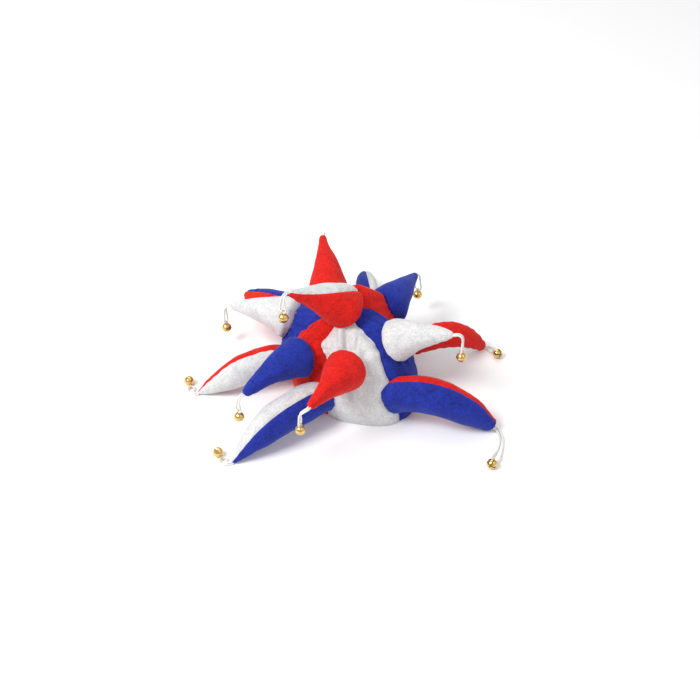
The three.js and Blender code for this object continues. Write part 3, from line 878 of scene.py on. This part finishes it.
def horn_sections(row):
    start = crown_point(row.at, horn_height / crown_height)
    run = heading(row.toward) * row.span * horn_span
    tip_tall = row.blunt * row.girth * horn_diameter / 2
    root, crest, wrist = [share * horn_height for share in (row.root, row.crest, row.wrist)]
    end = tip_tall * horn_tip_rest
    first = -0.12
    sections = []
    for station in range(station_count + 1):
        share = first + (1 - first) * station / station_count
        rest = 1 - share
        height = (
            rest ** 3 * root + 3 * rest ** 2 * share * crest
            + 3 * rest * share ** 2 * wrist + share ** 3 * end
        )
        slope = 3 * (
            rest ** 2 * (crest - root) + 2 * rest * share * (wrist - crest) + share ** 2 * (end - wrist)
        )
        middle = start + run * share
        middle.z = height
        along = Vector((run.x, run.y, slope)).normalized()
        side = up.cross(along).normalized()
        ridge = Quaternion(along, -math.radians(row.roll)) @ along.cross(side)
        taper = max((share - horn_taper["from"]) / (1 - horn_taper["from"]), 0) ** horn_taper["power"]
        filling = min(max(share, 0) / horn_root["until"], 1)
        swell = horn_root["girth"] + (1 - horn_root["girth"]) * filling
        tall = horn_diameter / 2 * row.girth * swell * (1 - (1 - row.blunt) * taper)
        wide = tall * (horn_width["root"] + (horn_width["tip"] - horn_width["root"]) * taper)
        sections.append(Section(middle, along, ridge, tall, wide))
    return sections


horn_lines = {row.name: horn_sections(row) for row in horns}
horn_points = [
    stuffed_point(
        f"horn_{row.name}",
        capped(horn_lines[row.name], horn_cap + 0.25 * horn_lines[row.name][-1].tall),
        horn_sides, horn_rows, [0, math.pi], 13,
    )
    for row in horns
]


# Top horn: the thirteenth point, sewn over the top of the crown where the gores
# meet. It has a red strip and a white strip, and flops over to the right of the
# head, with its seams turning round it on the way.
TopHorn = namedtuple("TopHorn", "length lift diameter toward rise seam twist loop hang drop cord")
top_horn = TopHorn(0.104, 0.002, 0.070, 172, 37, -5, -60, "raised", 194, 0.66, 0.084)
top_base = heading(crown_lean_azimuth) * crown_lean + up * (crown_height + top_horn.lift)
top_tip = top_base + heading(top_horn.toward, top_horn.rise) * top_horn.length
top_line = cone_sections(
    top_base, up, top_tip, top_horn.diameter, heading(top_horn.seam), top_horn.twist,
)
top_point = stuffed_point("top_horn", capped(top_line, cone_cap), horn_sides, cone_rows + 6, [0, math.pi], 12)

*filled_cones, filled_top = filled([*cones, top_point])
filled_horns = filled(horn_points)

for gore, stuffed in zip(gores, filled_cones):
    piece = skin_piece(stuffed, 0, cone_sides, velours[gore.cone], f"velour_cone_{gore.name}")
    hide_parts(f"cone_{gore.name}")

half = horn_sides // 2
for row, stuffed in zip(horns, filled_horns):
    for name, first in (("anticlockwise", 0), ("clockwise", half)):
        colour = getattr(row, name)
        title = f"velour_horn_{row.name}_{colour}"
        piece = skin_piece(stuffed, first, first + half, velours[colour], title)
        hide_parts(f"horn_{row.name}_{colour}")

for colour, first in (("red", 0), ("white", half)):
    piece = skin_piece(filled_top, first, first + half, velours[colour], f"velour_top_horn_{colour}")
    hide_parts(f"top_horn_{colour}")


# Cords: a loop of white braided cord through the tip of each point. Both of its
# strands leave the tip together, and open out to a turn that carries the bell.
# The loops of the horns lie on the table, and the others hang.
cord_diameter = 0.0026
loop_width = 0.0104
strand_gap = 0.0006
cord_drop = 0.030
cord_lead = 0.0004
cord_start = 0.0034
fall_steps = 3
rest_gap = 0.0001
bell_diameter = 0.014
handle_wire = 0.0011
handle_clearance = 0.00105
handle_radius = cord_diameter / 2 + handle_clearance + handle_wire / 2
handle_rest = handle_radius + handle_wire / 2 + rest_gap
cord_rest = cord_diameter / 2 + rest_gap
handle_perch = [1, 0.6, 0.2]
turn_angles = [30, 60, 90, 120, 150]
steep_run = 0.00015
close_half = (cord_diameter + strand_gap) / 2
turn_half = loop_width / 2

# Middle line of each form of loop: how far ahead of the tip and to its left, the
# height, and half the loop's width. A hanging loop's heights count from its start;
# a lying loop's are 1 at the tip's height and 0 on the table.
Turn = namedtuple("Turn", "ahead left height half")
hanging_routes = {
    "drooping": [
        Turn(0.0068, 0, -0.0020, close_half),
        Turn(0.0092, 0, -0.0052, 0.0019),
        Turn(0.0104, 0, -0.0092, 0.0024),
    ],
    "level": [
        Turn(0.0070, 0, -0.0004, close_half),
        Turn(0.0101, 0, -0.0024, 0.0018),
        Turn(0.0119, 0, -0.0058, 0.0021),
        Turn(0.0126, 0, -0.0100, 0.0026),
    ],
    "raised": [
        Turn(0.0070, 0, 0.0007, close_half),
        Turn(0.0104, 0, -0.0005, 0.0017),
        Turn(0.0127, 0, -0.0035, 0.0020),
        Turn(0.0136, 0, -0.0078, 0.0024),
    ],
    "swung": [
        Turn(0.0068, -0.0012, -0.0004, close_half),
        Turn(0.0093, -0.0038, -0.0026, 0.0018),
        Turn(0.0104, -0.0066, -0.0060, 0.0021),
        Turn(0.0108, -0.0082, -0.0102, 0.0026),
    ],
}
lying_routes = {
    "draped": [
        Turn(0.0060, -0.0009, 0.28, close_half),
        Turn(0.0094, -0.0038, 0.05, 0.0018),
        Turn(0.0120, -0.0086, 0, 0.0020),
        Turn(0.0138, -0.0150, 0, 0.0022),
        Turn(0.0144, -0.0230, 0, 0.0024),
        Turn(0.0142, -0.0315, 0, 0.0028),
        Turn(0.0132, -0.0400, 0, 0.0034),
        Turn(0.0114, -0.0480, 0, 0.0043),
        Turn(0.0092, -0.0555, 0, turn_half),
    ],
    "tucked": [
        Turn(0.0054, -0.0008, 0.2, close_half),
        Turn(0.0080, -0.0030, 0.03, 0.0022),
        Turn(0.0093, -0.0062, 0, 0.0036),
        Turn(0.0096, -0.0094, 0, turn_half),
    ],
    "underneath": [
        Turn(0.0060, -0.0010, 0.3, close_half),
        Turn(0.0090, -0.0036, 0.05, close_half),
        Turn(0.0106, -0.0076, 0, close_half),
        Turn(0.0100, -0.0120, 0, close_half),
        Turn(0.0070, -0.0156, 0, 0.0017),
        Turn(0.0024, -0.0172, 0, 0.0019),
        Turn(-0.0026, -0.0164, 0, 0.0022),
        Turn(-0.0076, -0.0138, 0, 0.0027),
        Turn(-0.0124, -0.0108, 0, 0.0034),
        Turn(-0.0180, -0.0074, 0, 0.0044),
        Turn(-0.0236, -0.0042, 0, turn_half),
    ],
    "beside": [
        Turn(0.0070, -0.0010, 0.35, close_half),
        Turn(0.0104, -0.0038, 0.08, close_half),
        Turn(0.0120, -0.0084, 0, close_half),
        Turn(0.0116, -0.0136, 0, close_half),
        Turn(0.0090, -0.0184, 0, 0.0017),
        Turn(0.0050, -0.0220, 0, 0.0020),
        Turn(0.0002, -0.0242, 0, 0.0024),
        Turn(-0.0054, -0.0254, 0, 0.0032),
        Turn(-0.0114, -0.0260, 0, 0.0042),
        Turn(-0.0174, -0.0262, 0, turn_half),
    ],
    "turned": [
        Turn(0.0056, -0.0008, 0.2, close_half),
        Turn(0.0080, -0.0029, 0.03, 0.0022),
        Turn(0.0092, -0.0060, 0, 0.0036),
        Turn(0.0090, -0.0092, 0, turn_half),
    ],
}


def lying_rows(route, tip_height):
    rows = []
    for i, row in enumerate(route):
        back = len(route) - 1 - i
        perch = handle_perch[back] if back < len(handle_perch) else 0
        lifted = row.height * (tip_height - cord_rest) + perch * (handle_rest - cord_rest)
        rows.append(row._replace(height=cord_rest + lifted))
    return rows


def hanging_rows(route, start_height, turn_height):
    rows = [row._replace(height=start_height + row.height) for row in route]
    last = rows[-1]
    for step in range(1, fall_steps + 1):
        part = step / fall_steps
        height = last.height + (turn_height - last.height) * part
        rows.append(last._replace(height=height, half=last.half + (turn_half - last.half) * part))
    return rows


def loop_points(section, cap, out, route, drop):
    """The loop's points, the way that it runs at its turn, and the turn's middle."""
    lying = drop == 0
    tip = section.middle + section.along * (cap + cord_lead)
    start = tip + section.along * cord_start
    left = up.cross(out)
    rows = lying_rows(route, tip.z) if lying else hanging_rows(route, start.z, tip.z - drop * cord_drop)
    spine = [tip, start]
    for row in rows:
        place = tip + out * row.ahead + left * row.left
        place.z = row.height
        spine.append(place)
    halves = [close_half, close_half] + [row.half for row in rows]
    sides = [up.cross(section.along).normalized()] * 2
    for i in range(2, len(spine)):
        flat = spine[min(i + 1, len(spine) - 1)] - spine[i - 1]
        flat.z = 0
        sides.append(up.cross(flat).normalized() if flat.length > steep_run else sides[i - 1])
    onward = spine[-1] - spine[-2]
    if lying:
        onward.z = 0
    onward.normalize()
    turn = [
        spine[-1] + sides[-1] * turn_half * math.cos(math.radians(angle))
        + onward * turn_half * math.sin(math.radians(angle))
        for angle in turn_angles
    ]
    strand = [point + side * half_width for point, side, half_width in zip(spine, sides, halves)]
    back = [point - side * half_width for point, side, half_width in zip(spine, sides, halves)]
    return strand + turn + back[::-1], onward, len(strand) + len(turn_angles) // 2


def braid():
    """White cord: strands that cross over one another round it, with painted shade darker in the grooves
    between them.
    """
    finish = Finish("white_cord", {"Roughness": 0.75, "Sheen Weight": 0.25})
    place = finish.node("ShaderNodeTexCoord", None, None, "Object")
    weave_and_painted_shade = finish.node("ShaderNodeTexVoronoi", {"feature": "F1"}, {"Vector": place, "Scale": 1150.0})
    fuzz = finish.node("ShaderNodeTexNoise", None, {"Vector": place, "Scale": 2600.0, "Detail": 2.0})
    # Painted shade: the colour darkens from the middle of each cell to its edges, where the bump sinks
    # between the strands.
    finish.varies("Base Color", finish.mix(weave_and_painted_shade, (0.9, 0.9, 0.88, 1), (0.66, 0.66, 0.63, 1)))
    finish.varies("Normal", finish.node("ShaderNodeBump", None, {
        "Height": fuzz * 0.3 - weave_and_painted_shade, "Strength": 0.7, "Distance": 0.0005,
    }))
    return finish.material


cord_finish = braid()


def cord_piece(name, points):
    curve = bpy.data.curves.new(name, "CURVE")
    curve.dimensions = "3D"
    curve.bevel_depth = cord_diameter / 2
    curve.bevel_resolution = 3
    curve.resolution_u = 6
    curve.use_fill_caps = True
    spline = curve.splines.new("BEZIER")
    spline.bezier_points.add(len(points) - 1)
    for knot, point in zip(spline.bezier_points, points):
        knot.co = point
        knot.handle_left_type = "AUTO"
        knot.handle_right_type = "AUTO"
    curve.materials.append(cord_finish)
    return placed(name, curve)


# Bells: thirteen jingle bells of brass sheet, each pressed from two half shells
# that meet in a rolled rim, with two crossing slots below and a wire handle above.
bell_wall = 0.0007
slot_width = 0.0016
slot_top = 0.0017
slot_turn = 18
slot_hole = 0.0013
slot_hole_fall = 24
rim_bulge = 0.00035
rim_height = 0.0011
bell_rings = 40
bell_sides = 56
wire_sides = 10
bell_offset = bell_diameter / 2 + handle_radius - handle_wire / 4


def lathed(profile, sides):
    """A closed shell of revolution about Z from a closed profile of radius, height."""
    mesh = bmesh.new()
    rings = []
    for radius, height in profile:
        rings.append([
            mesh.verts.new((
                radius * math.cos(math.tau * i / sides), radius * math.sin(math.tau * i / sides), height,
            ))
            for i in range(sides)
        ])
    for low, high in zip(rings, rings[1:] + rings[:1]):
        for i in range(sides):
            mesh.faces.new((low[i], low[(i + 1) % sides], high[(i + 1) % sides], high[i]))
    bmesh.ops.recalc_face_normals(mesh, faces=mesh.faces)
    return mesh


def shell_profile():
    outer = []
    inner = []
    radius = bell_diameter / 2
    for ring in range(bell_rings + 1):
        rise = math.pi * (ring / bell_rings - 0.5)
        height = radius * math.sin(rise)
        bulge = rim_bulge * math.exp(-(height / (rim_height / 2)) ** 4)
        outer.append((max((radius + bulge) * math.cos(rise), 0.00005), height))
        inside = radius - bell_wall
        inner.append((max(inside * math.cos(rise), 0.00005), inside * math.sin(rise)))
    return outer + inner[::-1]


def slot_cutter():
    """Two crossing slots through the lower shell, each ending in round holes."""
    cutter = bmesh.new()
    depth = bell_diameter
    for turn in (slot_turn, slot_turn + 90):
        around = Matrix.Rotation(math.radians(turn), 4, "Z")
        bar = bmesh.ops.create_cube(cutter, size=1)["verts"]
        size = Matrix.Diagonal((bell_diameter * 0.84, slot_width, depth, 1))
        bmesh.ops.transform(
            cutter, verts=bar, matrix=around @ Matrix.Translation((0, 0, -slot_top - depth / 2)) @ size,
        )
        for way in (0, 180):
            hole = bmesh.ops.create_cone(
                cutter, cap_ends=True, segments=20, radius1=slot_hole, radius2=slot_hole,
                depth=bell_diameter * 0.4,
            )["verts"]
            tip_out = Matrix.Rotation(math.radians(90 + slot_hole_fall), 4, "Y")
            out = Matrix.Rotation(math.radians(way), 4, "Z") @ tip_out
            shift = Matrix.Translation((0, 0, bell_diameter / 2))
            bmesh.ops.transform(cutter, verts=hole, matrix=around @ out @ shift)
    return cutter


def as_object(name, shape):
    mesh = bpy.data.meshes.new(name)
    shape.to_mesh(mesh)
    shape.free()
    return placed(name, mesh)


def bell_mesh():
    shell = as_object("bell_shell", lathed(shell_profile(), bell_sides))
    cutter = as_object("bell_cutter", slot_cutter())
    cut = shell.modifiers.new("slots", "BOOLEAN")
    cut.operation = "DIFFERENCE"
    cut.solver = "EXACT"
    cut.use_self = True
    cut.object = cutter
    depsgraph = bpy.context.evaluated_depsgraph_get()
    shape = bmesh.new()
    shape.from_mesh(shell.evaluated_get(depsgraph).to_mesh())
    bmesh.ops.translate(shape, verts=shape.verts, vec=(0, 0, -bell_offset))
    wire = handle_wire / 2
    turns = [math.tau * i / wire_sides for i in range(wire_sides)]
    profile = [(handle_radius + wire * math.cos(turn), wire * math.sin(turn)) for turn in turns]
    handle = lathed(profile, 36)
    bmesh.ops.rotate(handle, verts=handle.verts, matrix=Matrix.Rotation(math.pi / 2, 3, "Y"))
    ring = bpy.data.meshes.new("bell_handle")
    handle.to_mesh(ring)
    handle.free()
    shape.from_mesh(ring)
    mesh = bpy.data.meshes.new("jingle_bell")
    shape.to_mesh(mesh)
    shape.free()
    bpy.data.objects.remove(shell)
    bpy.data.objects.remove(cutter)
    mesh.polygons.foreach_set("use_smooth", [True] * len(mesh.polygons))
    mesh.set_sharp_from_angle(angle=math.radians(35))
    return mesh


def brass():
    """Bright brass plate, slightly dulled in patches."""
    finish = Finish("brass", {"Metallic": 1.0})
    place = finish.node("ShaderNodeTexCoord", None, None, "Object")
    cloud = finish.node("ShaderNodeTexNoise", None, {"Vector": place, "Scale": 260.0, "Detail": 4.0})
    finish.varies("Base Color", finish.mix(cloud, (0.62, 0.4, 0.12, 1), (0.86, 0.64, 0.27, 1)))
    finish.varies("Roughness", 0.16 + cloud * 0.14)
    return finish.material


bell_shape = bell_mesh()
bell_shape.materials.append(brass())


def belled_loop(name, section, cap, out, route, drop):
    """A cord loop at a tip, and the bell that hangs or lies at its turn."""
    points, onward, middle = loop_points(section, cap, out, route, drop)
    cord = cord_piece(f"braided_cord_{name}", points)
    handle = points[middle]
    through = (points[middle + 1] - points[middle - 1]).normalized()
    hangs = -up
    if drop == 0:
        rise = (bell_diameter / 2 + rest_gap - handle.z) / bell_offset
        across = through.cross(up)
        across.z = 0
        across.normalize()
        away = math.copysign(1, across.dot(onward))
        hangs = across * away * math.sqrt(1 - rise ** 2) + up * rise
    bell_up = -hangs
    hole = (through - bell_up * through.dot(bell_up)).normalized()
    side = bell_up.cross(hole)
    bell = placed(f"jingle_bell_{name}", bell_shape)
    bell.matrix_world = Matrix.Translation(handle) @ Matrix((hole, side, bell_up)).transposed().to_4x4()
    bpy.context.view_layer.update()
    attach(cord, "root")
    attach(bell, "root")
    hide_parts(f"cord_{name}")
    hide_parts(f"bell_{name}")
    "loose" if drop == 0 else "hanging"


cone_end_cap = 0.003
for gore in gores:
    belled_loop(
        f"cone_{gore.name}", cone_tips[gore.name][-1], cone_end_cap, heading(gore.hang),
        hanging_routes[gore.loop], gore.drop,
    )
for row in horns:
    belled_loop(
        f"horn_{row.name}", horn_lines[row.name][-1], horn_cap, heading(row.toward),
        lying_routes[row.loop], 0,
    )
belled_loop(
    "top_horn", top_line[-1], cone_end_cap, heading(top_horn.hang),
    hanging_routes[top_horn.loop], top_horn.drop,
)


# Last, the scene is updated with the hat's cloth, cords and bells in place.
bpy.context.view_layer.update()
